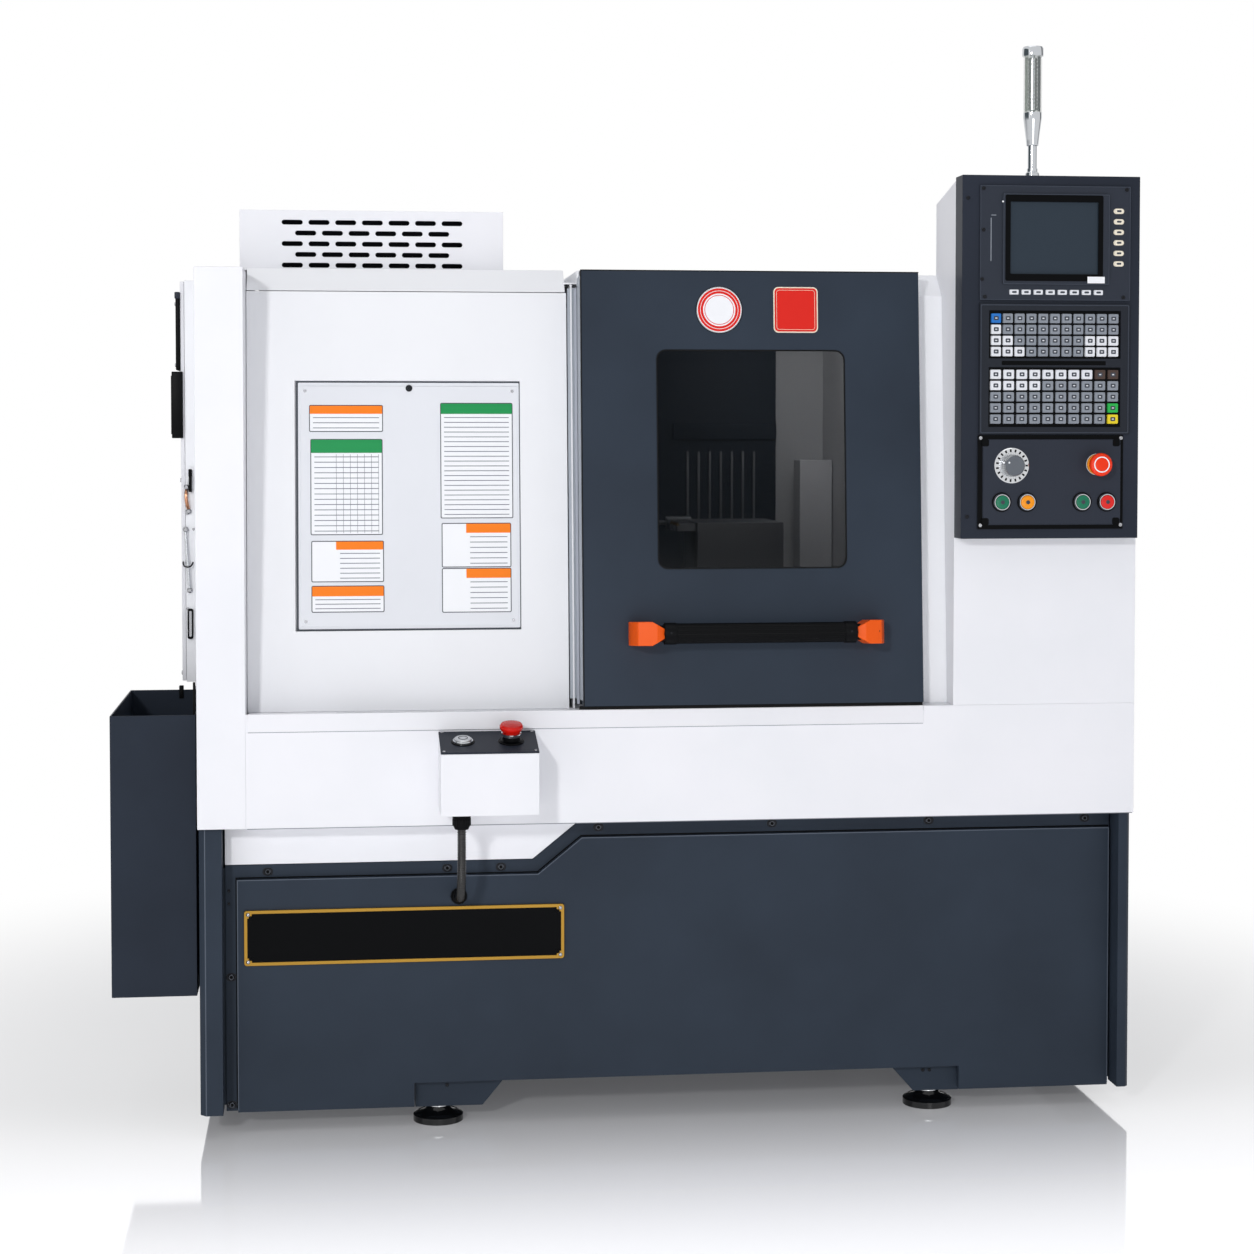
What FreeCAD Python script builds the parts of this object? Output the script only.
"""CNC turning lathe: a parametric model in millimetres.

Layout frame: X to the right, Y away from the operator, Z up. X is 0 at the middle of the base, Y is 0 on the
front of the white band, and Z is 0 on the floor. Every finished piece is then moved by (shift_x, shift_y), so
that the origin is below the middle of the whole machine, on the floor.

The door, the headstock cover and the door's handle are drawn in a leaned frame: X along the machine, Y the
distance behind the door's face and Z the distance up the slope from the door's bottom edge.
"""

import FreeCAD, Part
import Sketcher
import math
import os

from FreeCAD import Placement, Rotation, Vector

doc = FreeCAD.newDocument("lathe")
sheet = doc.addObject("Spreadsheet::Sheet", "Dims")
nodes = []


# ---------------------------------------------------------------- sizes

class Size:
    """A number together with the expression that drives it."""

    def __init__(self, number, text):
        self.number = float(number)
        self.text = text

    def __add__(self, other):
        return Size(self.number + number_of(other), "(%s + %s)" % (self.text, text_of(other)))

    def __radd__(self, other):
        return Size(number_of(other) + self.number, "(%s + %s)" % (text_of(other), self.text))

    def __sub__(self, other):
        return Size(self.number - number_of(other), "(%s - %s)" % (self.text, text_of(other)))

    def __rsub__(self, other):
        return Size(number_of(other) - self.number, "(%s - %s)" % (text_of(other), self.text))

    def __mul__(self, other):
        return Size(self.number * number_of(other), "(%s * %s)" % (self.text, text_of(other)))

    def __rmul__(self, other):
        return Size(number_of(other) * self.number, "(%s * %s)" % (text_of(other), self.text))

    def __truediv__(self, other):
        return Size(self.number / number_of(other), "(%s / %s)" % (self.text, text_of(other)))

    def __neg__(self):
        return Size(-self.number, "(0 - %s)" % self.text)


def number_of(value):
    return value.number if isinstance(value, Size) else float(value)


def text_of(value):
    return value.text if isinstance(value, Size) else "%.6f" % value


def driving(alias, number, note):
    """One driving dimension: a cell of the sheet with an alias."""
    driving.row += 1
    sheet.set("A%d" % driving.row, note)
    sheet.set("B%d" % driving.row, str(number))
    sheet.setAlias("B%d" % driving.row, alias)
    return Size(number, "Dims." + alias)


driving.row = 0

wall = driving("wall", 3, "sheet metal thickness")
half_width = driving("half_width", 840, "half the width of the base")
depth = driving("depth", 1200, "front of the band to the locks on the rear door")
rear_face = driving("rear_face", 1186, "front of the band to the rear wall's outer face")
base_low = driving("base_low", 36, "underside of the base panels")
end_low = driving("end_low", 42, "underside of the base end panels")
frame_low = driving("frame_low", 79, "underside of the base frame")
frame_top = driving("frame_top", 545, "top of the base frame")
bracket_low = driving("bracket_low", 30, "underside of the foot brackets")
band_low = driving("band_low", 551, "bottom of the white band")
sill_low = driving("sill_low", 720, "bottom of the door sill strip")
band_top = driving("band_top", 751, "top of the white band and of the sill")
column_top = driving("column_top", 1528, "top of the left column")
roof_top = driving("roof_top", 1537, "top of the headstock roof")
lintel_top = driving("lintel_top", 1534, "top of the roof behind the door")
right_roof = driving("right_roof", 1531, "top of the roof right of the door")
column_right = driving("column_right", -757, "right edge of the left column")

door_left = driving("door_left", -165, "left edge of the door")
door_right = driving("door_right", 450, "right edge of the door")
door_low = driving("door_low", 757, "bottom edge of the door")
door_tall = driving("door_tall", 777, "height of the door along its slope")
door_front = driving("door_front", 4, "front of the door's bottom edge")
door_skin_deep = driving("door_skin_deep", 28, "depth of the door's dark skin")
door_deep = driving("door_deep", 60, "depth of the whole door")
door_slope = driving("door_slope", 0.0734, "how far the door leans back for each millimetre up")
window_left = driving("window_left", -30, "left edge of the window")
window_right = driving("window_right", 313, "right edge of the window")
window_low = driving("window_low", 242, "bottom of the window, up the slope")
window_high = driving("window_high", 635, "top of the window, up the slope")
window_round = driving("window_round", 18, "corner radius of the window")
handle_up = driving("handle_up", 128, "height of the handle, up the slope")
handle_out = driving("handle_out", 48, "handle axis in front of the door")
handle_round = driving("handle_round", 18, "radius of the handle grip")

cover_back = driving("cover_back", 70, "headstock cover behind the door's face")
cover_right = driving("cover_right", -184, "right edge of the headstock cover")
cover_tall = driving("cover_tall", 744, "height of the headstock cover along its slope")
pillar_left = driving("pillar_left", 503, "left face of the control pillar")
pillar_deep = driving("pillar_deep", 142, "depth of the control pillar")
pillar_front_top = driving("pillar_front_top", 1691, "top of the control pillar at its front")
pillar_back_top = driving("pillar_back_top", 1662, "top of the control pillar at its back")
box_right = driving("box_right", 827, "right face of the control box")
box_deep = driving("box_deep", 48, "depth of the control box")
box_low = driving("box_low", 1053, "bottom of the control box")
box_top = driving("box_top", 1697, "top of the control box")
lamp_top = driving("lamp_top", 1927, "top of the signal lamp")

stop_left = driving("stop_left", -422, "left side of the stop box")
stop_right = driving("stop_right", -252, "right side of the stop box")
stop_out = driving("stop_out", 100, "stop box in front of the band")
stop_low = driving("stop_low", 582, "bottom of the stop box")
stop_front_top = driving("stop_front_top", 689, "top of the stop box at its front")
stop_back_top = driving("stop_back_top", 714, "top of the stop box at the band")

cabinet_low = driving("cabinet_low", 764, "underside of the service cabinet")
cabinet_top = driving("cabinet_top", 1531, "top of the service cabinet")
cabinet_front = driving("cabinet_front", 450, "front of the service cabinet")
cabinet_back = driving("cabinet_back", 1100, "back of the service cabinet")

bin_left = driving("bin_left", 993, "reach of the chip bin to the left")
bin_front = driving("bin_front", 40, "front of the chip bin")
bin_back = driving("bin_back", 470, "back of the chip bin")
bin_low = driving("bin_low", 251, "bottom of the chip bin")
bin_top = driving("bin_top", 747, "rim of the chip bin")

spindle_y = driving("spindle_y", 480, "spindle axis behind the band")
spindle_z = driving("spindle_z", 1060, "spindle axis above the floor")
motor_y = driving("motor_y", 830, "spindle motor axis behind the band")
bed_top = driving("bed_top", 800, "top of the bed casting")
screw_y = driving("screw_y", 520, "Z ball screw behind the band")
screw_z = driving("screw_z", 822, "Z ball screw above the floor")
cross_x = driving("cross_x", 180, "X ball screw, from the middle of the base")
cross_z = driving("cross_z", 900, "X ball screw above the floor")

shift_x = (bin_left - half_width) / 2
shift_y = (stop_out - depth) / 2
lean = math.atan(door_slope.number)
doc.recompute()


# ---------------------------------------------------------------- building blocks

def bind(item, prop, value):
    """Set a property to a number and tie it to the sheet where it comes from there."""
    if isinstance(value, Size):
        item.setExpression(prop, value.text)


def box(name, x0, x1, y0, y1, z0, z1):
    """A block between three pairs of planes."""
    item = doc.addObject("Part::Box", name)
    item.Length = number_of(x1) - number_of(x0)
    item.Width = number_of(y1) - number_of(y0)
    item.Height = number_of(z1) - number_of(z0)
    bind(item, "Length", Size(0, "0") + x1 - x0)
    bind(item, "Width", Size(0, "0") + y1 - y0)
    bind(item, "Height", Size(0, "0") + z1 - z0)
    put(item, x0, y0, z0)
    return item


TURNS = {
    "Z": Rotation(),
    "X": Rotation(Vector(0, 1, 0), 90),
    "Y": Rotation(Vector(1, 0, 0), -90),
    "-Y": Rotation(Vector(1, 0, 0), 90),
    "-Z": Rotation(Vector(1, 0, 0), 180),
}


def put(item, x, y, z, axis="Z"):
    item.Placement = Placement(Vector(number_of(x), number_of(y), number_of(z)), TURNS[axis])
    bind(item, ".Placement.Base.x", x)
    bind(item, ".Placement.Base.y", y)
    bind(item, ".Placement.Base.z", z)


def rod(name, radius, length, x, y, z, axis="Z"):
    """A cylinder that starts at a point and runs along an axis."""
    item = doc.addObject("Part::Cylinder", name)
    item.Radius = number_of(radius)
    item.Height = number_of(length)
    bind(item, "Radius", radius)
    bind(item, "Height", length)
    put(item, x, y, z, axis)
    return item


def fuse(name, parts):
    item = doc.addObject("Part::MultiFuse", name)
    item.Shapes = parts
    item.Refine = True
    return item


def cut(name, base, tools):
    item = doc.addObject("Part::Cut", name)
    item.Base = base
    item.Tool = tools[0] if len(tools) == 1 else fuse(name + "_tools", tools)
    item.Refine = True
    return item


def fixed(name, shape):
    """A shape made with Part's own functions from the sheet's values."""
    item = doc.addObject("Part::Feature", name)
    item.Shape = shape
    return item


def plane_of(body, role):
    return [item for item in body.Origin.OriginFeatures if item.Role == role][0]


def closed_sketch(body, role, points):
    """A closed outline of straight edges on one of the body's main planes, every corner dimensioned."""
    sketch = body.newObject("Sketcher::SketchObject", body.Name + "_sketch")
    sketch.AttachmentSupport = (plane_of(body, role), [""])
    sketch.MapMode = "FlatFace"
    count = len(points)
    corners = [Vector(number_of(a), number_of(b), 0) for a, b in points]
    for index in range(count):
        sketch.addGeometry(Part.LineSegment(corners[index], corners[(index + 1) % count]), False)
    for index in range(count):
        sketch.addConstraint(Sketcher.Constraint("Coincident", index, 2, (index + 1) % count, 1))
    for index, pair in enumerate(points):
        for kind, axis, value in (("DistanceX", -2, pair[0]), ("DistanceY", -1, pair[1])):
            if number_of(value) == 0:
                sketch.addConstraint(Sketcher.Constraint("PointOnObject", index, 1, axis))
                continue
            number = sketch.addConstraint(Sketcher.Constraint(kind, -1, 1, index, 1, number_of(value)))
            if isinstance(value, Size):
                sketch.setExpression("Constraints[%d]" % number, value.text)
    return sketch


def outline(name, role, points, start, length):
    """A straight-sided outline on a main plane, padded along the plane's normal.

    The points are pairs on that plane: X and Y, X and Z or Y and Z. On the XZ plane the pad runs towards +Y.
    """
    body = doc.addObject("PartDesign::Body", name)
    sketch = closed_sketch(body, role, points)
    away = -1 if role == "XZ_Plane" else 1
    sketch.AttachmentOffset = Placement(Vector(0, 0, away * number_of(start)), Rotation())
    if isinstance(start, Size):
        sketch.setExpression(".AttachmentOffset.Base.z", (start * away).text)
    pad = body.newObject("PartDesign::Pad", name + "_pad")
    pad.Profile = sketch
    pad.Length = number_of(length)
    bind(pad, "Length", length)
    pad.Reversed = role == "XZ_Plane"
    return body


def turned(name, points, x, y, z, axis="Z"):
    """A turned piece: an outline of (radius, height) pairs, revolved about its own axis."""
    body = doc.addObject("PartDesign::Body", name)
    sketch = closed_sketch(body, "XZ_Plane", points)
    revolution = body.newObject("PartDesign::Revolution", name + "_turn")
    revolution.Profile = sketch
    revolution.ReferenceAxis = (sketch, ["V_Axis"])
    revolution.Angle = 360
    put(body, x, y, z, axis)
    return body


def node(name, parts, leaned=False):
    """Name a finished piece and move it from the layout frame, or the leaned frame, to its place."""
    item = doc.addObject("Part::Compound", name)
    item.Links = parts
    item.Label = name
    if leaned:
        item.Placement = Placement(Vector(0, 0, 0), Rotation(Vector(-1, 0, 0), math.degrees(lean)))
        item.setExpression(".Placement.Rotation.Angle", "atan(Dims.door_slope)")
        base = (shift_x, shift_y + door_front, door_low)
    else:
        base = (shift_x, shift_y, Size(0, "0"))
    for letter, value in zip("xyz", base):
        item.setExpression(".Placement.Base." + letter, value.text)
    nodes.append(item)
    return item


# ---------------------------------------------------------------- base

FEET_X = (-420, 484)
FEET_Y = (105, 1080)
NOTCH = (-464, 532)


def base_frame():
    """Welded frame: a wide rectangular tube, open front and back, on four foot brackets."""
    plate = 12
    shell = box("frame_outer", -790, 790, 96, 1150, frame_low, frame_top)
    inside = box("frame_inner", plate - 790, 790 - plate, 90, 1160, frame_low + plate, frame_top - plate)
    ring = cut("frame_ring", shell, [inside])
    left = [(-462, bracket_low), (-341, bracket_low), (-300, frame_low), (-462, frame_low)]
    right = [(452, bracket_low), (537, bracket_low), (537, frame_low), (408, frame_low)]
    brackets = []
    for index, (start, length) in enumerate(((80, 120), (1030, 100))):
        brackets.append(outline("bracket_left_%d" % index, "XZ_Plane", left, start, length))
        brackets.append(outline("bracket_right_%d" % index, "XZ_Plane", right, start, length))
    body = fuse("frame_welded", [ring] + brackets)
    holes = [rod("stud_hole_%d%d" % (i, j), 8.5, 80, x, y, 20)
             for i, x in enumerate(FEET_X) for j, y in enumerate(FEET_Y)]
    node("base_frame", [cut("frame_drilled", body, holes)])


def levelling_feet():
    """Four machine feet: pad, nut under the bracket and stud, turned as one."""
    profile = [(0, 0), (45, 0), (45, 11), (41, 13), (25, 19), (21, 27), (14, 27), (14, bracket_low),
               (8, bracket_low), (8, 76), (0, 76)]
    feet = [turned("foot_%d%d" % (i, j), profile, x, y, 0)
            for i, x in enumerate(FEET_X) for j, y in enumerate(FEET_Y)]
    node("levelling_feet", feet)


def base_front_panel():
    """Pressed panel: a flat rim with a raised middle, stepped up to the right and notched for the feet."""
    left, right = NOTCH
    notch = [(right, base_low), (right, frame_low), (left, frame_low), (left, base_low)]
    rim = [(-797, base_low), (-797, 476), (-251, 476), (-151, 556), (817, 556), (817, base_low)] + notch
    raised = [(-776, base_low), (-776, 451), (-242, 451), (-163, 515), (813, 515), (813, base_low)] + notch
    hollow = [(-773, base_low - 5), (-773, 448), (-243, 448), (-164, 512), (810, 512), (810, base_low - 5),
              (right + 3, base_low - 5), (right + 3, frame_low + 3), (left - 3, frame_low + 3),
              (left - 3, base_low - 5)]
    rim_front = 70
    proud = 12
    plate = outline("panel_rim", "XZ_Plane", rim, rim_front, 4)
    middle = outline("panel_raised", "XZ_Plane", raised, rim_front - proud, proud)
    inside = outline("panel_hollow", "XZ_Plane", hollow, rim_front - proud + 3, proud + 5)
    body = cut("panel_pressed", fuse("panel_stamped", [plate, middle]), [inside])
    node("base_front_panel", [body])


def base_end_panels():
    """Folded corner and side panels of the base, and its rear panel with a raised access cover."""
    back = rear_face - wall
    left = [(-half_width, back), (-half_width, 28), (-830, 18), (-800, 18), (-800, 70), (-803, 70), (-803, 21),
            (-829, 21), (wall - half_width, 29), (wall - half_width, back)]
    right = [(half_width, back), (half_width, 24), (834, 18), (818, 18), (818, 70), (821, 70), (821, 21),
             (833, 21), (half_width - wall, 25), (half_width - wall, back)]
    parts = [outline("end_left", "XY_Plane", left, end_low, band_low - end_low),
             outline("end_right", "XY_Plane", right, end_low, band_low - end_low),
             box("end_rear", -half_width, half_width, back, rear_face, end_low, band_low),
             box("end_access_cover", -620, 420, rear_face, rear_face + 4, 130, 470)]
    node("base_end_panels", [fuse("base_ends", parts)])


def drip_tray():
    """White tray on the base frame; its front skirt shows below the band, left of the panel's step."""
    side = half_width - wall - 1
    back = rear_face - wall - 4
    lip = frame_top + 40
    floor = box("tray_floor", -side, side, 78, back, frame_top, frame_top + wall)
    skirt = outline("tray_skirt", "XZ_Plane",
                    [(-797, 477), (-251, 477), (-163, 548), (-797, 548)], 66, wall)
    bridge = box("tray_bridge", -797, -166, 66, 78, frame_top, frame_top + wall)
    rear = box("tray_rear", -side, side, back - wall, back, frame_top, lip)
    side_left = box("tray_left", -side, wall - side, 78, back, frame_top, lip)
    side_right = box("tray_right", side - wall, side, 78, back, frame_top, lip)
    node("drip_tray", [fuse("tray", [floor, skirt, bridge, rear, side_left, side_right])])


def name_plate():
    """Blank plate with a raised border and four rivets."""
    front = 55
    plate = box("plate", -763, -196, front, 58, 299, 396)
    border = cut("plate_border", box("border_outer", -763, -196, front - 1, front, 299, 396),
                 [box("border_inner", -757, -202, front - 2, front + 1, 305, 390)])
    rivets = [rod("rivet_%d%d" % (i, j), 3.5, 2.5, x, front, z, "-Y")
              for i, x in enumerate((-752, -207)) for j, z in enumerate((311, 384))]
    node("name_plate", [fuse("plate_whole", [plate, border] + rivets)])


def panel_screws():
    """Pan-head screws on the rim of the base panel and on the corner of the skirt."""
    places = [(-722, 463), (-404, 463), (-308, 463), (-132, 531), (185, 532), (476, 532), (770, 531),
              (-787, 423), (-787, 243), (-787, 52)]
    screws = []
    for index, (x, z) in enumerate(places):
        screws.append(turned("screw_%d" % index, [(0, 0), (6, 0), (6, 1.6), (3.6, 3.6), (0, 4)], x, 70, z, "-Y"))
    node("panel_screws", screws)


# ---------------------------------------------------------------- white body

def front_band():
    """Folded band across the front, with a lower step where the door sill sits."""
    sill_end = 449
    face = [(column_right, band_low), (half_width, band_low), (half_width, band_top), (sill_end, band_top),
            (sill_end, sill_low), (column_right, sill_low)]
    front = outline("band_face", "XZ_Plane", face, 0, wall)
    lower = box("band_lower", column_right, half_width, wall, 50, band_low, band_low + wall)
    tail = box("band_tail", column_right, -170, 50, 90, band_low, band_low + wall)
    foot = box("band_foot", column_right, -170, 80, 90, frame_top + wall, band_low)
    upper = box("band_upper", sill_end, half_width, wall, pillar_deep, band_top - wall, band_top)
    side = box("band_side", half_width - wall, half_width, wall, pillar_deep, band_low, band_top)
    node("front_band", [fuse("band", [front, lower, tail, foot, upper, side])])


def door_sill():
    """Folded sill with a channel for the door's lower rail."""
    section = [(-2, sill_low), (3, band_top), (8, band_top), (8, 740), (60, 740), (60, 746), (140, 746),
               (140, 743), (63, 743), (63, 737), (5, 737), (2.5, sill_low)]
    node("door_sill", [outline("sill", "YZ_Plane", section, column_right + 3, 449 - column_right - 3)])


def door_rails():
    """Lower rail in the sill, and a guide block behind the top of the door."""
    rail = box("rail_lower", -600, 447, 44, 52, 740, 746.5)
    guide = box("rail_guide", -158, -118, 121, 125, 1514, 1532)
    node("door_rails", [rail, guide])


def left_enclosure():
    """Left corner column and left side wall, folded from one sheet, with a cap on the column."""
    back = rear_face - wall
    left = half_width + 1
    plan = [(column_right, 140), (column_right, 0), (-left, 0), (-left, back), (wall - left, back),
            (wall - left, wall), (column_right - wall, wall), (column_right - wall, 140)]
    walls = outline("column_walls", "XY_Plane", plan, band_low, column_top - band_low)
    cap = box("column_cap", wall - left, column_right - wall, wall, back, column_top - wall, column_top)
    node("left_enclosure", [fuse("column", [walls, cap])])


def headstock_cover():
    """Leaning cover over the headstock, with a framed opening for the inspection panel."""
    left = column_right + 1
    sheet_front = cover_back
    plate = box("cover_plate", left, cover_right, sheet_front, sheet_front + wall, -5.6, cover_tall)
    side = outline("cover_side", "YZ_Plane",
                   [(sheet_front + wall, -5.6), (sheet_front + 40, -2.9), (sheet_front + 40, cover_tall),
                    (sheet_front + wall, cover_tall)],
                   cover_right - wall, wall)
    rim = box("cover_rim", -674, -266, sheet_front + wall, sheet_front + 14, 134, 587)
    hole = box("cover_hole", -671, -269, sheet_front - 5, sheet_front + 11, 137, 584)
    inner = box("cover_inner", -655, -285, sheet_front + 5, sheet_front + 20, 153, 568)
    node("headstock_cover", [cut("cover_cut", fuse("cover_whole", [plate, side, rim]), [hole, inner])],
         leaned=True)


def inspection_panel():
    """Flat panel set into the cover's opening."""
    front = cover_back + 6
    node("inspection_panel", [box("inspection_plate", -662, -274, front, cover_back + 11, 145, 575)],
         leaned=True)


def roof_panel():
    """Roof in three levels: over the headstock with a sloped front, behind the door, and to its right."""
    back = rear_face - wall
    left_end = column_right + 1
    headstock = outline("roof_left", "YZ_Plane",
                        [(128, 1495), (170, roof_top), (back, roof_top), (back, roof_top - wall),
                         (171.3, roof_top - wall), (132.3, 1495)],
                        left_end, -186 - left_end)
    edge = box("roof_edge", -189, -186, 173, back, 1510, roof_top - wall)
    channel = box("roof_channel", -189, door_left + wall, 140, back, 1510, 1513)
    lintel = outline("roof_middle", "YZ_Plane",
                     [(125, 1513), (125, lintel_top), (back, lintel_top), (back, lintel_top - wall),
                      (128, lintel_top - wall), (128, 1513)],
                     door_left, 452 - door_left)
    cheek = box("roof_cheek", door_left, door_left + wall, 128, back, 1513, lintel_top - wall)
    step = box("roof_step", 449, 452, 128, back, right_roof - wall, lintel_top - wall)
    right = box("roof_right", 452, half_width - wall, 145, back, right_roof - wall, right_roof)
    rear = box("roof_rear", left_end, 452, back - wall, back, right_roof - 12, roof_top - wall)
    hole = box("roof_hole", -740, -320, 260, 520, 1500, 1560)
    whole = fuse("roof_whole", [headstock, edge, channel, lintel, cheek, step, right, rear])
    node("roof_panel", [cut("roof_cut", whole, [hole])])


def slot_grid(rows, length, height, deep):
    """Round-ended slots along X, cut through Y; rows holds (first x, count, pitch, z)."""
    slots = []
    radius = height / 2
    for first, count, pitch, z in rows:
        for index in range(count):
            x = first + index * pitch
            low, high = deep
            a = Vector(x - length / 2 + radius, low, z - radius)
            b = Vector(x + length / 2 - radius, low, z - radius)
            c = Vector(x + length / 2 - radius, low, z + radius)
            d = Vector(x - length / 2 + radius, low, z + radius)
            right = Part.Arc(b, Vector(x + length / 2, low, z), c).toShape()
            left = Part.Arc(d, Vector(x - length / 2, low, z), a).toShape()
            wire = Part.Wire([Part.LineSegment(a, b).toShape(), right, Part.LineSegment(c, d).toShape(), left])
            slots.append(Part.Face(wire).extrude(Vector(0, high - low, 0)))
    return Part.makeCompound(slots)


def exhaust_vent_box():
    """Vent box on the headstock roof, open below, with five rows of slots front and back."""
    left, right, front, back = -771, -291, 230, 560
    top = roof_top + 110
    outer = box("vent_outer", left, right, front, back, roof_top, top)
    inner = box("vent_inner", left + wall, right - wall, front + wall, back - wall, roof_top - 5, top - wall)
    pitch = 48.5
    rows = []
    for index in range(5):
        z = roof_top.number + 88 - index * 19.5
        if index % 2 == 0:
            rows.append((-676, 7, pitch, z))
        else:
            rows.append((-676 + pitch / 2, 6, pitch, z))
    slots = fixed("vent_slots", slot_grid(rows, 38, 8.8, (front - 10, back + 10)))
    node("exhaust_vent_box", [cut("vent_cut", outer, [inner, slots])])


def right_front_wall():
    """Leaning wall to the right of the door, with the roof's front slope folded on."""
    left, right = 455, pillar_left
    face = outline("wall_face", "YZ_Plane",
                   [(43.7, band_top), (98, 1491), (138, right_roof), (142.3, right_roof), (101, 1489.7),
                    (46.7, band_top)],
                   left, right - left)
    side = outline("wall_side", "YZ_Plane",
                   [(46.7, band_top), (101, 1489.7), (139.3, right_roof - wall), (172.2, right_roof - wall),
                    (136, 1489.7), (81.7, band_top)],
                   left, wall)
    flat = box("wall_flat", left, right, 138, 145, right_roof - wall, right_roof)
    node("right_front_wall", [fuse("wall_whole", [face, side, flat])])


def control_pillar():
    """Pillar that carries the controls: a folded box, open at the back, with a sloping top."""
    lower = box("pillar_lower", pillar_left, half_width, 0, pillar_deep, band_top, right_roof)
    upper = outline("pillar_upper", "YZ_Plane",
                    [(0, right_roof), (0, pillar_front_top), (pillar_deep, pillar_back_top),
                     (pillar_deep, right_roof)],
                    pillar_left, box_right - pillar_left)
    hollow_low = box("pillar_hollow_low", pillar_left + wall, half_width - wall, wall, pillar_deep + 5,
                     band_top + wall, right_roof - wall)
    hollow_top = outline("pillar_hollow_top", "YZ_Plane",
                         [(wall, right_roof - 10), (wall, pillar_front_top - wall),
                          (pillar_deep + 5, pillar_back_top - 4), (pillar_deep + 5, right_roof - 10)],
                         pillar_left + wall, box_right - pillar_left - wall - wall)
    whole = fuse("pillar_outer", [lower, upper])
    node("control_pillar", [cut("pillar_cut", whole, [hollow_low, hollow_top])])


def right_enclosure():
    """Right side wall with two banks of ventilation slots."""
    plate = box("side_plate", half_width - wall, half_width, pillar_deep, rear_face - wall, band_low, right_roof)
    slots = []
    for column in range(2):
        for row in range(9):
            y = 720 + column * 190
            z = 1180 + row * 24
            slots.append(box("side_slot_%d%d" % (column, row), 830, 850, y, y + 150, z, z + 8))
    node("right_enclosure", [cut("side_cut", plate, slots)])


def rear_enclosure():
    """Rear wall of the white body, with a bank of slots and the electrical cabinet's raised, hinged door."""
    left = half_width + 1
    plate = box("rear_plate", -left, half_width, rear_face - wall, rear_face, band_low, right_roof)
    opening = box("rear_opening", 60, 730, rear_face - 10, rear_face + 10, 680, 1440)
    rows = [(-560, 6, 60, 640 + index * 26) for index in range(10)]
    slots = fixed("rear_slots", slot_grid(rows, 46, 9, (1170, 1210)))
    skin = rear_face + 10
    shell = cut("rear_door", box("rear_door_outer", 20, 770, rear_face - 1, skin, 640, 1480),
                [box("rear_door_inner", 20 + wall, 770 - wall, rear_face - 5, skin - wall,
                     640 + wall, 1480 - wall)])
    parts = [cut("rear_cut", plate, [slots, opening]), shell]
    for index, z in enumerate((700, 1030, 1360)):
        parts.append(rod("rear_hinge_%d" % index, 7.5, 60, 779, depth - 7.5, z))
        parts.append(box("rear_leaf_%d" % index, 765, 779, rear_face, skin, z, z + 60))
    for index, z in enumerate((720, 1060, 1400)):
        parts.append(rod("rear_lock_%d" % index, 13, depth - skin + 1, 50, skin - 1, z, "Y"))
    node("rear_enclosure", [fuse("rear_whole", parts)])


def inner_guard():
    """Guard round the working space: left, rear and right walls with cut-outs for the bed."""
    top = 1509
    foot = frame_top + wall
    section = [(150, foot), (150, 747), (70, 747), (125, top), (980, top), (980, foot)]
    left = outline("guard_left", "YZ_Plane", section, -177, wall)
    right = outline("guard_right", "YZ_Plane",
                    [(150, foot), (150, band_top), (82.3, band_top), (137, top), (980, top), (980, foot)],
                    459, wall)
    rear = box("guard_rear", -177, 462, 977, 980, foot, top)
    bed_gap = box("guard_bed_gap", -200, 500, 295, 765, 500, bed_top + 3)
    spindle_hole = rod("guard_spindle", 48, 60, -200, spindle_y, spindle_z, "X")
    screw_hole = rod("guard_screw", 30, 60, 430, screw_y, screw_z, "X")
    rail_gaps = [box("guard_rail_%d" % y, -200, 500, y, y + 40, bed_top - 5, bed_top + 45) for y in (335, 685)]
    whole = fuse("guard_whole", [left, right, rear])
    node("inner_guard", [cut("guard_cut", whole, [bed_gap, spindle_hole, screw_hole] + rail_gaps)])


def chip_bin():
    """Sheet bin, open at the top, hung on the left side by two straps."""
    left, right = -bin_left, -845
    outer = box("bin_outer", left, right, bin_front, bin_back, bin_low, bin_top)
    inner = box("bin_inner", left + wall, right - wall, bin_front + wall, bin_back - wall, bin_low + wall,
                bin_top + 10)
    straps = [box("bin_strap_%d" % y, right, right + 4, y, y + 30, bin_top - 60, bin_top + 58) for y in (60, 300)]
    shell = cut("bin_shell", outer, [inner])
    node("chip_bin", [fuse("bin_whole", [shell] + straps)])


# ---------------------------------------------------------------- side cabinet

HINGE = (-895, 1102)
KNUCKLES = (870, 1410)


def side_cabinet():
    """Service cabinet on the left wall, open to the left, with two fixed hinge knuckles."""
    face, wall_side = -885, -841
    outer = box("cabinet_outer", face, wall_side, cabinet_front, cabinet_back, cabinet_low, cabinet_top)
    inner = box("cabinet_inner", face - 5, wall_side - wall, cabinet_front + wall, cabinet_back - wall,
                cabinet_low + wall, cabinet_top - wall)
    parts = [cut("cabinet_shell", outer, [inner])]
    x, y = HINGE
    for index, z in enumerate(KNUCKLES):
        parts.append(rod("cabinet_knuckle_%d" % index, 5, 30, x, y, z - 30))
        parts.append(box("cabinet_leaf_%d" % index, x, face + 4, y - 2, y + 2, z - 30, z))
    node("side_cabinet", [fuse("cabinet_whole", parts)])


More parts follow.
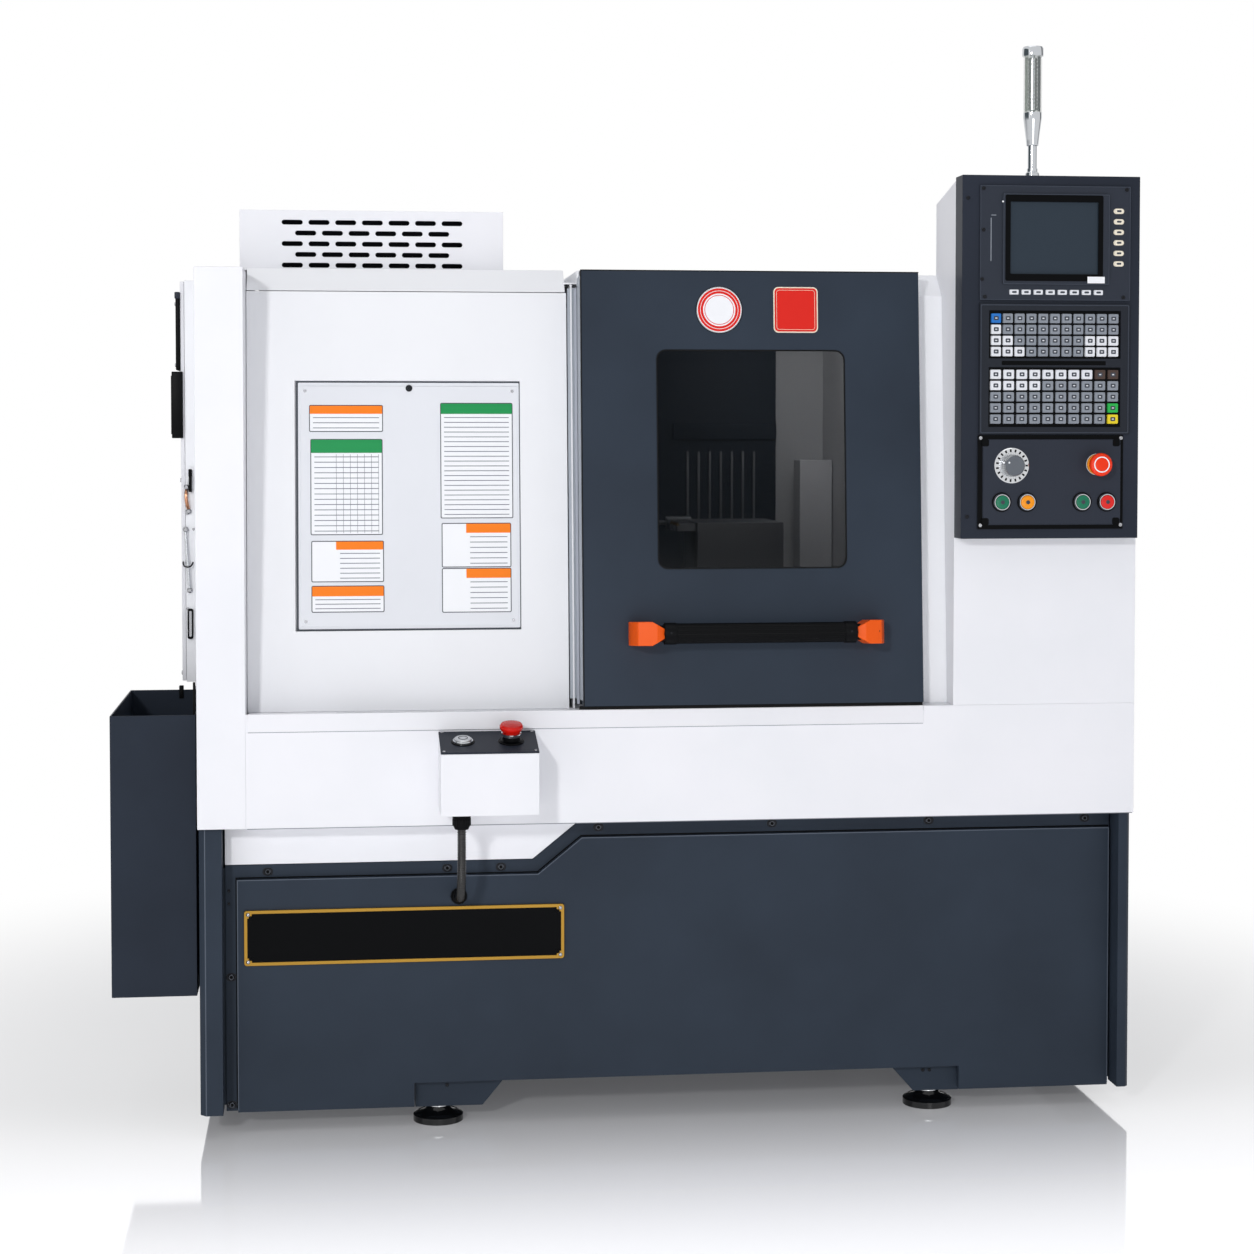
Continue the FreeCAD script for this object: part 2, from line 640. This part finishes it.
def side_door():
    """Hinged door of the service cabinet, with the housing of the main switch."""
    x, y = HINGE
    panel = box("side_door_panel", -893, -885.5, cabinet_front + 2, cabinet_back - 4,
                cabinet_low + 2, cabinet_top - 2)
    housing = box("switch_housing", -905, -893, 500, 620, 1232, 1356)
    parts = [panel, housing]
    for index, z in enumerate(KNUCKLES):
        parts.append(rod("side_door_knuckle_%d" % index, 5, 30, x, y, z + 0.5))
        parts.append(box("side_door_leaf_%d" % index, x - 2, x + 3, y - 12, y, z + 0.5, z + 30.5))
    node("side_door", [fuse("side_door_whole", parts)])


def main_switch():
    """Rotary main switch on its housing."""
    plate = rod("switch_disc", 30, 4, -909.5, 560, 1318, "X")
    grip = box("switch_grip", -914, -907, 552, 568, 1290, 1346)
    node("main_switch", [fuse("switch_whole", [plate, grip])])


# ---------------------------------------------------------------- door

def rounded_block(name, x0, x1, y0, y1, z0, z1, radius):
    """A block whose four edges along Y are rounded."""
    item = doc.addObject("Part::Fillet", name)
    item.Base = box(name + "_block", x0, x1, y0, y1, z0, z1)
    doc.recompute()
    edges = []
    for number, edge in enumerate(item.Base.Shape.Edges, 1):
        along = edge.Vertexes[1].Point - edge.Vertexes[0].Point
        if abs(along.x) < 1e-6 and abs(along.z) < 1e-6:
            edges.append((number, number_of(radius), number_of(radius)))
    item.Edges = edges
    return item


def door_skin():
    """Dark skin of the door: a shallow folded tray with the window opening."""
    outer = box("skin_outer", door_left, door_right, 0, door_skin_deep, 0, door_tall)
    inner = box("skin_inner", door_left + wall, door_right - wall, wall, door_skin_deep + 5,
                wall, door_tall - wall)
    window = rounded_block("skin_window", window_left, window_right, -5, 10, window_low, window_high,
                           window_round)
    node("door_skin", [cut("skin_cut", outer, [inner, window])], leaned=True)


def door_frame():
    """White inner frame of the door: a square-tube ring, a liner round the window, and four rollers."""
    gap = 0.5
    left, right = door_left + wall + gap, door_right - wall - gap
    low, high = wall + gap, door_tall - wall - gap
    outer = box("ring_outer", left, right, wall + gap, door_deep, low, high)
    inner = box("ring_inner", left + 40, right - 40, wall - 5, door_deep - 2, low + 40, high - 40)
    hole = rounded_block("ring_window", window_left - 12, window_right + 12, door_deep - 10, door_deep + 5,
                         window_low - 12, window_high + 12, 24)
    ring = cut("ring_cut", outer, [inner, hole])
    rollers = [rod("roller_%d" % index, 9, 8, x, 40, 2.6, "Y") for index, x in enumerate((-100, 385))]
    node("door_frame", [fuse("frame_and_rollers", [ring] + rollers)], leaned=True)


def window_glass():
    """Tinted pane behind the door's skin."""
    overlap = 6
    node("window_glass", [rounded_block("pane", window_left - overlap, window_right + overlap, wall, wall + 6,
                                        window_low - overlap, window_high + overlap, window_round)],
         leaned=True)


def handle_bar():
    """Black grip tube with a sleeve at each end."""
    grip = rod("grip", handle_round, 300, -5, -handle_out, handle_up, "X")
    sleeves = [rod("sleeve_%d" % index, handle_round + 1.2, 22, x, -handle_out, handle_up, "X")
               for index, x in enumerate((-27, 295))]
    node("handle_bar", [fuse("handle_whole", [grip] + sleeves)], leaned=True)


def handle_ends():
    """Orange end blocks: square at the door, tapering inwards to the bar."""
    tall = 21
    ends = []
    for name, outer, inner in (("handle_end_left", -84, -27), ("handle_end_right", 371, 317)):
        side = 1 if inner > outer else -1
        plan = [(outer, -0.1), (outer, -34), (outer + side * 10, -60), (inner - side * 14, -68),
                (inner, -62), (inner, -34), (inner - side * 14, -0.1)]
        if side < 0:
            plan = plan[::-1]
        block = outline(name + "_block", "XY_Plane", plan, handle_up - tall, 2 * tall)
        chamfers = []
        for label, sign in (("low", -1), ("high", 1)):
            edge = number_of(handle_up) + sign * tall
            wedge = [(inner - side * 24, edge + sign), (inner + side * 1, edge + sign),
                     (inner + side * 1, edge - sign * 13)]
            chamfers.append(outline(name + "_" + label, "XZ_Plane", wedge, -90, 100))
        ends.append(cut(name, block, chamfers))
    node("handle_ends", ends, leaned=True)


# ---------------------------------------------------------------- control box

BUTTONS = {"green_start_button": (575, 1118), "orange_button": (621, 1118), "green_cycle_button": (722, 1118),
           "red_hold_button": (767, 1118)}
DIAL = (593, 1183)
PANEL_STOP = (748, 1185)
PANEL_FACE = -54


def control_box():
    """Dark folded box for the operator's panels, open at the back."""
    outer = box("control_outer", pillar_left, box_right, -box_deep, 0, box_low, box_top)
    inner = box("control_inner", pillar_left + wall, box_right - wall, wall - box_deep, 5, box_low + wall,
                box_top - wall)
    holes = panel_holes("control_hole", -box_deep - 5, 20)
    node("control_box", [cut("control_cut", outer, [inner] + holes)])


def panel_holes(name, start, length):
    """Holes for the buttons, the stop head's stem and the knob's shaft."""
    tools = [rod("%s_%s" % (name, label), 12.8, length, x, start, z, "Y") for label, (x, z) in BUTTONS.items()]
    tools.append(rod(name + "_stop", 9, length, PANEL_STOP[0], start, PANEL_STOP[1], "Y"))
    tools.append(rod(name + "_dial", 5, length, DIAL[0], start, DIAL[1], "Y"))
    return tools


def display_unit():
    """Display bezel with a raised screen surround."""
    face = -box_deep
    plate = box("display_plate", 534, 809, face - 4, face, 1476, 1679)
    surround = box("display_surround", 575, 769, face - 8, face - 4, 1504, 1664)
    recess = box("display_recess", 581, 755, face - 12, face - 2, 1520.5, 1652)
    node("display_unit", [cut("display_cut", fuse("display_whole", [plate, surround]), [recess])])


def display_glass():
    node("display_glass", [box("screen", 581.3, 754.7, -box_deep - 5, -box_deep - 2, 1520.8, 1651.7)])


def keypad_unit():
    """Keypad housing with two recessed fields of keys."""
    face = -box_deep
    plate = box("keypad_plate", 534, 808, face - 6, face, 1239, 1470)
    upper = box("keypad_upper", 551, 791.5, face - 10, face - 3, 1373, 1458)
    lower = box("keypad_lower", 550.6, 791.5, face - 10, face - 3, 1251.4, 1357.5)
    node("keypad_unit", [cut("keypad_cut", plate, [upper, lower])])


def keypad_keys():
    """Membrane keys: 11 by 4 and 10 by 5 fields, eight soft keys and six side keys of the display."""
    face = -box_deep.number
    fields = [(563.6, 1444.1, 11, 4, 21.44, 19.67, 18.4, 17.2, face - 3, 4),
              (563.4, 1344.8, 10, 5, 23.8, 19.8, 20.0, 17.0, face - 3, 4),
              (596.2, 1490.5, 8, 1, 21.99, 0, 17.0, 8.9, face - 4, 2.5),
              (787.0, 1635.0, 1, 6, 0, 18.66, 19.5, 9.6, face - 4, 2.5)]
    keys = []
    for x, z, columns, rows, pitch_x, pitch_z, wide, tall, back, thick in fields:
        for row in range(rows):
            for column in range(columns):
                corner = Vector(x + column * pitch_x - wide / 2, back - thick, z - row * pitch_z - tall / 2)
                keys.append(Part.makeBox(wide, thick, tall, corner))
    node("keypad_keys", [fixed("keys", Part.makeCompound(keys))])


def operator_plate():
    """Operator plate: a base plate and a raised plate with notched corners."""
    base = box("operator_base", 532, 798, -51, -box_deep, 1070, 1237)
    x0, x1, z0, z1, notch = 541.6, 792.8, 1079, 1229, 9
    face = [(x0 + notch, z0), (x1 - notch, z0), (x1 - notch, z0 + notch), (x1, z0 + notch), (x1, z1 - notch),
            (x1 - notch, z1 - notch), (x1 - notch, z1), (x0 + notch, z1), (x0 + notch, z1 - notch),
            (x0, z1 - notch), (x0, z0 + notch), (x0 + notch, z0 + notch)]
    raised = outline("operator_raised", "XZ_Plane", face, PANEL_FACE, 3)
    holes = panel_holes("operator_hole", PANEL_FACE - 5, 20)
    node("operator_plate", [cut("operator_cut", fuse("operator_whole", [base, raised]), holes)])


def push_buttons():
    """Four push buttons, each of its own colour."""
    for label, (x, z) in BUTTONS.items():
        node(label, [turned(label + "_cap", [(0, -4), (12.2, -4), (12.2, 8), (11, 9.5), (0, 10)],
                            x, PANEL_FACE, z, "-Y")])


def override_knob():
    """Feed override knob on its shaft."""
    knob = turned("knob_body", [(0, -8), (4, -8), (4, 3), (20, 3), (20, 6), (18.5, 21), (17, 23), (0, 23)],
                  DIAL[0], PANEL_FACE, DIAL[1], "-Y")
    node("override_knob", [knob])


STOP_PROFILE = [(0, -10), (6, -10), (6, 17), (15, 17), (20.5, 25), (20.5, 29), (18, 32.5), (0, 34)]
COLLAR_PROFILE = [(7, 0), (19, 0), (19, 3), (15.5, 4), (14.5, 11), (7, 11)]


def panel_stop_head():
    node("panel_stop_head", [turned("panel_stop", STOP_PROFILE, PANEL_STOP[0], PANEL_FACE, PANEL_STOP[1], "-Y")])


def signal_lamp():
    """Signal lamp: a turned post that carries the cap on a core, and a clear tube round the core."""
    x, y = 636, -24
    low = lamp_top - box_top
    post = [(0, 0), (12.5, 0), (12.5, 5), (8, 6), (8, 54), (10.5, 55), (11.5, 66), (16.4, 104), (16.4, 113),
            (4, 113), (4, 213), (18.5, 213), (18.5, low - 3), (16, low), (0, low)]
    node("lamp_post", [turned("post", post, x, y, box_top)])
    node("lamp_tube", [turned("tube", [(14, 113.2), (16.4, 113.2), (16.4, 212.8), (14, 212.8)], x, y, box_top)])


# ---------------------------------------------------------------- stop box

LID_TILT = math.atan((stop_back_top.number - stop_front_top.number) / stop_out.number)
LID_MIDDLE = 51
LID_THICK = 3
STOP_HEAD_X = -297.5
STOP_BUTTON_X = -381.5
HOSE_ROUTE = [Vector(-384, -50, 560), Vector(-384, -51, 520), Vector(-384, -50, 479), Vector(-384, -26.5, 438),
              Vector(-384, 14.5, 414.5), Vector(-384, 55, 414.5)]


def on_lid(name, parts):
    """Lay pieces on the tilted lid. They are drawn with X along the machine, Y up the lid and Z away from it."""
    item = doc.addObject("Part::Compound", name)
    item.Links = parts
    item.Placement = Placement(Vector(0, 0, 0), Rotation(Vector(1, 0, 0), math.degrees(LID_TILT)))
    item.setExpression(".Placement.Rotation.Angle", "atan(%s)" % (
        (stop_back_top - stop_front_top) / stop_out).text)
    item.setExpression(".Placement.Base.y", (-stop_out).text)
    item.setExpression(".Placement.Base.z", stop_front_top.text)
    return item


def stop_box():
    """White box on the band, open at the top, with the lid resting on its rim."""
    outer = outline("stop_outer", "YZ_Plane",
                    [(-stop_out, stop_low), (-stop_out, stop_front_top), (0, stop_back_top), (0, stop_low)],
                    stop_left, stop_right - stop_left)
    inner = outline("stop_inner", "YZ_Plane",
                    [(wall - stop_out, stop_low + wall), (wall - stop_out, stop_front_top + 20),
                     (-wall, stop_back_top + 20), (-wall, stop_low + wall)],
                    stop_left + wall, stop_right - stop_left - wall - wall)
    node("stop_box", [cut("stop_shell", outer, [inner])])


def stop_box_lid():
    """Lid plate of the stop box, with the holes for its two controls."""
    up = stop_out.number / math.cos(LID_TILT)
    plate = box("lid_plate", stop_left, stop_right, 1, up - 0.3, 0, LID_THICK)
    holes = [rod("lid_stop_hole", 9, 10, STOP_HEAD_X, LID_MIDDLE, -5),
             rod("lid_button_hole", 15.6, 10, STOP_BUTTON_X, LID_MIDDLE, -5)]
    node("stop_box_lid", [on_lid("lid_laid", [cut("lid_cut", plate, holes)])])


def stop_box_controls():
    """The stop box's mushroom head and silver button."""
    head = turned("box_stop", STOP_PROFILE, STOP_HEAD_X, LID_MIDDLE, LID_THICK)
    node("stop_box_head", [on_lid("head_laid", [head])])
    button = turned("box_button", [(0, 1), (15, 1), (15, 6.5), (13, 8), (0, 8)], STOP_BUTTON_X, LID_MIDDLE,
                    LID_THICK)
    node("stop_box_button", [on_lid("button_laid", [button])])


def control_rings():
    """Every ring round a control: four button bezels, the dial's plate, two stop collars and a lid ring."""
    parts = []
    for label, (x, z) in BUTTONS.items():
        parts.append(turned("bezel_" + label, [(12.8, 0), (15.5, 0), (15.5, 4), (14, 7), (12.8, 7)],
                            x, PANEL_FACE, z, "-Y"))
    parts.append(turned("dial_plate", [(5, 0), (31.5, 0), (31.5, 1.5), (30, 2.5), (5, 2.5)],
                        DIAL[0], PANEL_FACE, DIAL[1], "-Y"))
    parts.append(turned("collar_panel", COLLAR_PROFILE, PANEL_STOP[0], PANEL_FACE, PANEL_STOP[1], "-Y"))
    collar = turned("collar_lid", COLLAR_PROFILE, STOP_HEAD_X, LID_MIDDLE, LID_THICK)
    ring = turned("collar_button", [(15.6, 0), (17.6, 0), (17.6, 4), (16.6, 5), (15.6, 5)],
                  STOP_BUTTON_X, LID_MIDDLE, LID_THICK)
    parts.append(on_lid("lid_rings", [collar, ring]))
    node("control_rings", parts)


def hose_glands():
    """Cable glands: one below the stop box, one on the base panel."""
    first, last = HOSE_ROUTE[0], HOSE_ROUTE[-1]
    upper = turned("gland_upper", [(8.6, 0), (16, 0), (16, 10), (14.5, 11), (14.5, 24), (12, 30), (8.6, 30)],
                   first.x, first.y, stop_low, "-Z")
    lower = turned("gland_lower", [(8.6, 0), (13, 0), (13, 5), (11.5, 8), (8.6, 8)],
                   last.x, 58, last.z, "-Y")
    node("hose_glands", [upper, lower])


def route_edges(points):
    """Straight runs joined by tangent arcs, each arc as large as its two runs allow."""
    edges = []
    start = points[0]
    for before, corner, after in zip(points, points[1:], points[2:]):
        back = (before - corner).normalize()
        onward = (after - corner).normalize()
        reach = 0.45 * min((before - corner).Length, (after - corner).Length)
        half_turn = (math.pi - back.getAngle(onward)) / 2
        radius = reach / math.tan(half_turn)
        bisector = (back + onward).normalize()
        middle = corner + bisector * (radius / math.cos(half_turn) - radius)
        enter = corner + back * reach
        leave = corner + onward * reach
        edges.append(Part.LineSegment(start, enter).toShape())
        edges.append(Part.Arc(enter, middle, leave).toShape())
        print("hose turn %.1f degrees, radius %.1f mm" % (math.degrees(2 * half_turn), radius))
        start = leave
    edges.append(Part.LineSegment(start, points[-1]).toShape())
    return edges


def ring_on(edges, run, radius):
    """A circle round the route, at a distance along it."""
    index = 0
    while index < len(edges) - 1 and run > edges[index].Length:
        run -= edges[index].Length
        index += 1
    edge = edges[index]
    at = edge.getParameterByLength(min(run, edge.Length))
    ring = Part.Circle()
    ring.Center = edge.valueAt(at)
    ring.Axis = edge.tangentAt(at)
    ring.XAxis = Vector(1, 0, 0)
    ring.Radius = radius
    return Part.Wire([ring.toShape()])


def corrugated_hose():
    """Ribbed hose from the stop box back into the base."""
    ribs, crest, valley, bore = 48, 7.9, 6.6, 5.4
    edges = route_edges(HOSE_ROUTE)
    length = sum(edge.Length for edge in edges)
    pitch = length / ribs
    outside = []
    for rib in range(ribs):
        for share, radius in ((0, valley), (0.3, crest), (0.6, crest), (0.9, valley)):
            outside.append(ring_on(edges, (rib + share) * pitch, radius))
    outside.append(ring_on(edges, length, valley))
    inside = [ring_on(edges, length * step / ribs, bore) for step in range(ribs + 1)]
    hose = Part.makeLoft(outside, True, True).cut(Part.makeLoft(inside, True, True))
    print("hose length %.1f mm, %d ribs, pitch %.2f mm" % (length, ribs, pitch))
    node("corrugated_hose", [fixed("hose", hose)])


# ---------------------------------------------------------------- working parts

WAYS_Y = (340, 690)


def bed_casting():
    """Cast bed with its two ground ways and the Z screw's bearing blocks, cored out from below."""
    parts = [box("bed_body", -600, 455, 300, 760, frame_top + wall, bed_top)]
    parts += [box("way_%d" % y, -165, 452, y, y + 30, bed_top, bed_top + 40) for y in WAYS_Y]
    parts += [box("screw_bearing_%d" % index, x, x + 18, 490, 550, bed_top, bed_top + 43)
              for index, x in enumerate((-166, 412))]
    cores = [box("bed_core_%d" % index, x, x + 210, 340, 720, frame_top - 10, bed_top - 60)
             for index, x in enumerate((-570, -330, -90, 150))]
    bore = rod("screw_bore", 12.8, 700, -200, screw_y, screw_z, "X")
    node("bed_casting", [cut("bed_cored", fuse("bed_whole", parts), cores + [bore])])


def headstock():
    """Headstock casting with the spindle bore."""
    section = [(370, bed_top), (590, bed_top), (590, 1120), (545, 1170), (415, 1170), (370, 1120)]
    body = outline("headstock_body", "YZ_Plane", section, -560, 300)
    bore = rod("headstock_bore", 45.5, 400, -600, spindle_y, spindle_z, "X")
    node("headstock", [cut("headstock_bored", body, [bore])])


def spindle():
    """Spindle with its pulley at the rear and the collet nose in the working space."""
    profile = [(19, -640), (60, -640), (60, -592), (45, -592), (45, -258), (60, -258), (60, -236), (40, -230),
               (40, -160), (32, -150), (32, -130), (19, -130)]
    node("spindle", [turned("spindle_turned", profile, 0, spindle_y, spindle_z, "X")])


def motor_pulley():
    """Spindle motor's pulley and shaft."""
    profile = [(0, -640), (60, -640), (60, -592), (19, -592), (19, -581), (0, -581)]
    node("motor_pulley", [turned("pulley_turned", profile, 0, motor_y, spindle_z, "X")])


def drive_belt():
    """Flat belt round the two equal pulleys."""
    inner, thick, start, wide = 60.5, 6, -636, 40
    solids = {}
    for label, radius in (("outer", inner + thick), ("inner", inner)):
        solids[label] = fuse("belt_" + label, [
            rod("belt_front_" + label, radius, wide, start, spindle_y, spindle_z, "X"),
            rod("belt_back_" + label, radius, wide, start, motor_y, spindle_z, "X"),
            box("belt_run_" + label, start, start + wide, spindle_y, motor_y, spindle_z - radius,
                spindle_z + radius)])
    node("drive_belt", [cut("belt_whole", solids["outer"], [solids["inner"]])])


def drive_motors():
    """Spindle motor on its pedestal, and the Z servo motor on its bracket."""
    floor = frame_top + wall
    spindle_motor = fuse("spindle_motor", [
        box("motor_body", -580, -340, motor_y - 85, motor_y + 85, spindle_z - 85, spindle_z + 85),
        box("motor_pedestal", -560, -360, 765, 900, floor, spindle_z - 85)])
    servo = fuse("z_servo", [
        box("servo_body", 474, 640, screw_y - 55, screw_y + 55, screw_z - 55, screw_z + 55),
        box("servo_bracket", 500, 600, 470, 570, floor, screw_z - 55)])
    node("drive_motors", [spindle_motor, servo])


def z_saddle():
    """Saddle on the bed's rails, with rails for the cross slide and the X servo motor behind."""
    low = bed_top + 45
    top = low + 40
    plate = box("saddle_plate", 60, 300, 320, 740, low, top)
    parts = [plate]
    for y in (325, 675):
        for x in (70, 240):
            block = box("shoe_%d_%d" % (x, y), x, x + 50, y, y + 60, bed_top + 8, low)
            groove = box("groove_%d_%d" % (x, y), x - 5, x + 55, y + 14, y + 46, bed_top, bed_top + 41)
            parts.append(cut("carriage_%d_%d" % (x, y), block, [groove]))
    parts.append(box("saddle_nut", 150, 210, 490, 550, bed_top + 3, low))
    for x in (80, 255):
        parts.append(box("x_rail_%d" % x, x, x + 25, 320, 740, top, top + 20))
    for y in (320, 715):
        parts.append(box("x_support_%d" % y, 150, 210, y, y + 25, top, top + 30))
    parts.append(box("x_servo", 130, 230, 742, 872, cross_z - 50, cross_z + 50))
    parts.append(box("x_servo_flange", 140, 220, 738, 744, top - 20, top + 10))
    holes = [rod("saddle_z_bore", 13, 120, 120, screw_y, screw_z, "X"),
             rod("saddle_x_bore", 10.5, 431, cross_x, 310, cross_z, "Y")]
    node("z_saddle", [cut("saddle_bored", fuse("saddle_whole", parts), holes)])


def cross_slide():
    """Cross slide with its gang of turning tools and one drill holder."""
    low = bed_top + 116
    plate = box("cross_plate", 70, 290, 400, 640, low, low + 34)
    parts = [plate]
    for x in (80, 255):
        for y in (405, 590):
            block = box("cross_shoe_%d_%d" % (x, y), x - 8, x + 33, y, y + 45, bed_top + 88, low)
            groove = box("cross_groove_%d_%d" % (x, y), x - 1, x + 26, y - 5, y + 50, bed_top + 80,
                         bed_top + 106)
            parts.append(cut("cross_carriage_%d_%d" % (x, y), block, [groove]))
    parts.append(box("cross_nut", 152, 208, 490, 550, bed_top + 86.5, low))
    parts.append(box("tool_block", 100, 270, 420, 620, low + 34, low + 150))
    for index, y in enumerate((440, 480, 520)):
        parts.append(box("tool_%d" % index, 62, 110, y, y + 16, spindle_z - 12, spindle_z + 4))
    parts.append(rod("drill_holder", 14, 50, 60, 585, spindle_z, "X"))
    parts.append(rod("drill", 5, 28, 34, 585, spindle_z, "X"))
    bore = rod("cross_bore", 10.5, 100, cross_x, 470, cross_z, "Y")
    node("cross_slide", [cut("cross_bored", fuse("cross_whole", parts), [bore])])


def ball_screws():
    """Ball screws of the two slides; the fine thread is left to the finish."""
    z_profile = [(0, 0), (12.5, 0), (12.5, 600), (20, 600), (20, 632), (0, 632)]
    node("z_ball_screw", [turned("z_screw", z_profile, -160, screw_y, screw_z, "X")])
    x_profile = [(0, 0), (10, 0), (10, 416), (0, 416)]
    node("x_ball_screw", [turned("x_screw", x_profile, cross_x, 325, cross_z, "Y")])


# ---------------------------------------------------------------- build, check and write

SUB_PARTS = [base_frame, levelling_feet, base_front_panel, base_end_panels, drip_tray, name_plate,
             panel_screws, front_band, door_sill, door_rails, left_enclosure, headstock_cover,
             inspection_panel, roof_panel, exhaust_vent_box, right_front_wall, control_pillar,
             right_enclosure, rear_enclosure, inner_guard, chip_bin, side_cabinet, side_door, main_switch,
             door_skin, door_frame, window_glass, handle_bar, handle_ends, control_box, display_unit,
             display_glass, keypad_unit, keypad_keys, operator_plate, push_buttons, override_knob,
             panel_stop_head, signal_lamp, stop_box, stop_box_lid, stop_box_controls, control_rings,
             hose_glands, corrugated_hose, bed_casting, headstock, spindle, motor_pulley, drive_belt,
             drive_motors, z_saddle, cross_slide, ball_screws]

for make in SUB_PARTS:
    make()
doc.recompute()

for item in doc.Objects:
    if "Invalid" in item.State or "Error" in item.State:
        raise RuntimeError("%s did not build: %s" % (item.Name, item.State))
for item in nodes:
    if item.Shape.isNull() or not item.Shape.isValid() or not item.Shape.Solids:
        raise RuntimeError("%s has no valid solid" % item.Label)

os.makedirs("parts", exist_ok=True)
whole = Part.makeCompound([item.Shape for item in nodes]).BoundBox
print("%d nodes, box X %.1f..%.1f Y %.1f..%.1f Z %.1f..%.1f" % (
    len(nodes), whole.XMin, whole.XMax, whole.YMin, whole.YMax, whole.ZMin, whole.ZMax))
for item in nodes:
    item.Shape.exportStep(os.path.join("parts", item.Label + ".step"))
